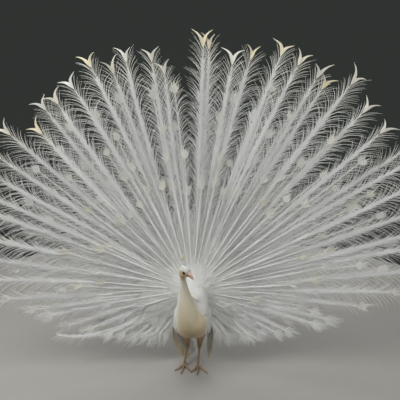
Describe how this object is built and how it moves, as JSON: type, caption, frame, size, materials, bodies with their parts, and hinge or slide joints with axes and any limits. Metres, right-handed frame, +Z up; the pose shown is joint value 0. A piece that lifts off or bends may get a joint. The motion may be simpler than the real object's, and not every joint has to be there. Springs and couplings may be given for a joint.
{
  "type": "white peacock displaying its train",
  "caption": "White peacock standing as a still, life-size model with its long train raised and fanned, wings drooped, neck upright and head turned to its left",
  "frame": {"origin": "the middle of the whole bird's box, at the level of the soles", "axes": "+Z up, the bird faces -Y, its left side is toward +X and the train spreads along X"},
  "size_m": [2.5328, 0.4608, 1.7925],
  "materials": {
    "white_feather": "matte",
    "breast_feather": "matte",
    "face_feather": "matte",
    "thigh_feather": "matte",
    "leg_scale": "satin",
    "horn": "satin",
    "eye": "gloss"
  },
  "bodies": {
    "root": {"back_feathers": "white_feather", "bill_lower": "horn", "bill_upper": "horn", "claw_inner_left": "horn", "claw_inner_right": "horn", "claw_middle_left": "horn", "claw_middle_right": "horn", "claw_outer_left": "horn", "claw_outer_right": "horn", "claw_rear_left": "horn", "claw_rear_right": "horn", "crest": "white_feather", "eye_left": "eye", "eye_right": "eye", "flight_left": "white_feather", "flight_right": "white_feather", "foot_left": "leg_scale", "foot_right": "leg_scale", "head": "face_feather", "neck_lower": "breast_feather", "neck_upper": "breast_feather", "shank_left": "leg_scale", "shank_right": "leg_scale", "spur_left": "horn", "spur_right": "horn", "tail": "white_feather", "thigh_left": "thigh_feather", "thigh_right": "thigh_feather", "train_01": "white_feather", "train_02": "white_feather", "train_03": "white_feather", "train_04": "white_feather", "train_05": "white_feather", "train_06": "white_feather", "train_07": "white_feather", "train_08": "white_feather", "train_09": "white_feather", "train_10": "white_feather", "train_11": "white_feather", "train_12": "white_feather", "train_13": "white_feather", "train_14": "white_feather", "train_15": "white_feather", "trunk": "breast_feather", "vent": "white_feather", "wing_left": "white_feather", "wing_right": "white_feather"}
  },
  "joints": []
}
